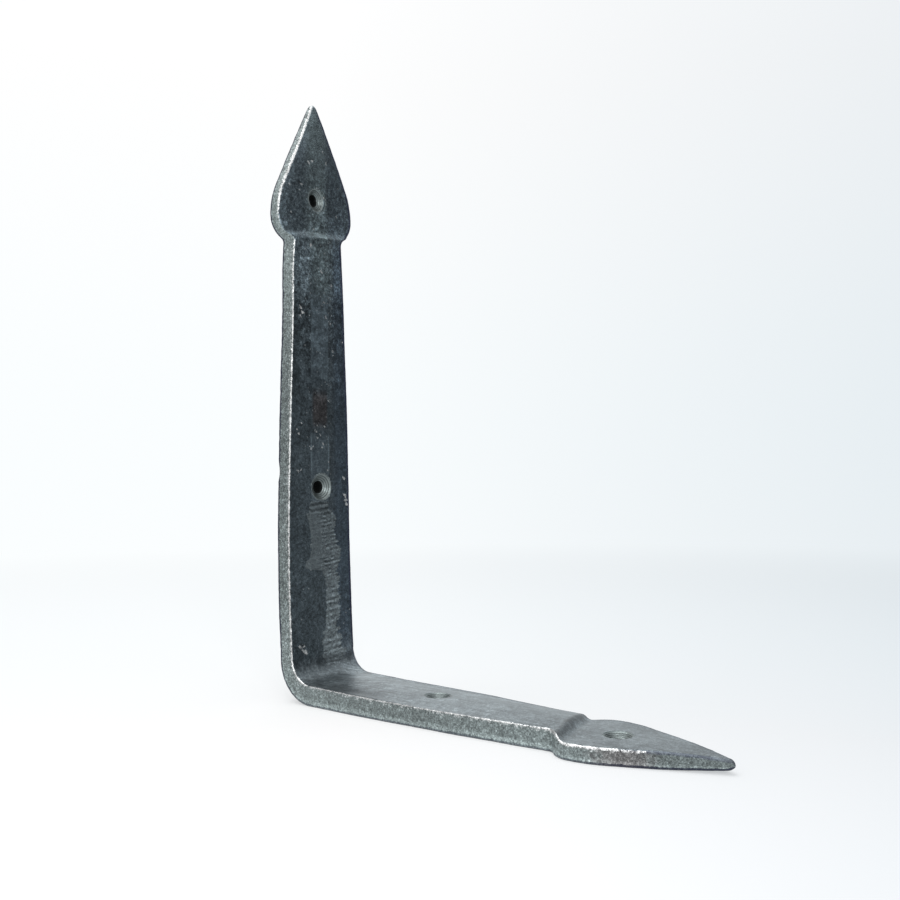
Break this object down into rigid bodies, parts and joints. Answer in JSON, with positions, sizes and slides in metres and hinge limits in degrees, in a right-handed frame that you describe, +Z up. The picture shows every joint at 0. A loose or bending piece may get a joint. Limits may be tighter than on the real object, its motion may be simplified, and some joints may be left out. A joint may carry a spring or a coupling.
{
  "type": "shelf bracket",
  "caption": "Forged L-shaped shelf bracket: one tapered bar bent square, with a pointed leaf at each end and countersunk screw holes.",
  "frame": {"origin": "centre of the footprint, in the plane of the shelf leg's outer face; the wall leg's outer face is the plane X = -76.2 mm", "axes": "+Z up along the wall leg, +X from the wall leg towards the shelf leg's tip, Y across the bar"},
  "size_m": [0.1524, 0.034, 0.2032],
  "materials": {
    "forged_iron": "dark forged iron with a waxed black skin, rubbed brighter along the middle of the inner face and on the edges"
  },
  "bodies": {
    "root": {"bracket": "forged_iron"}
  },
  "joints": []
}
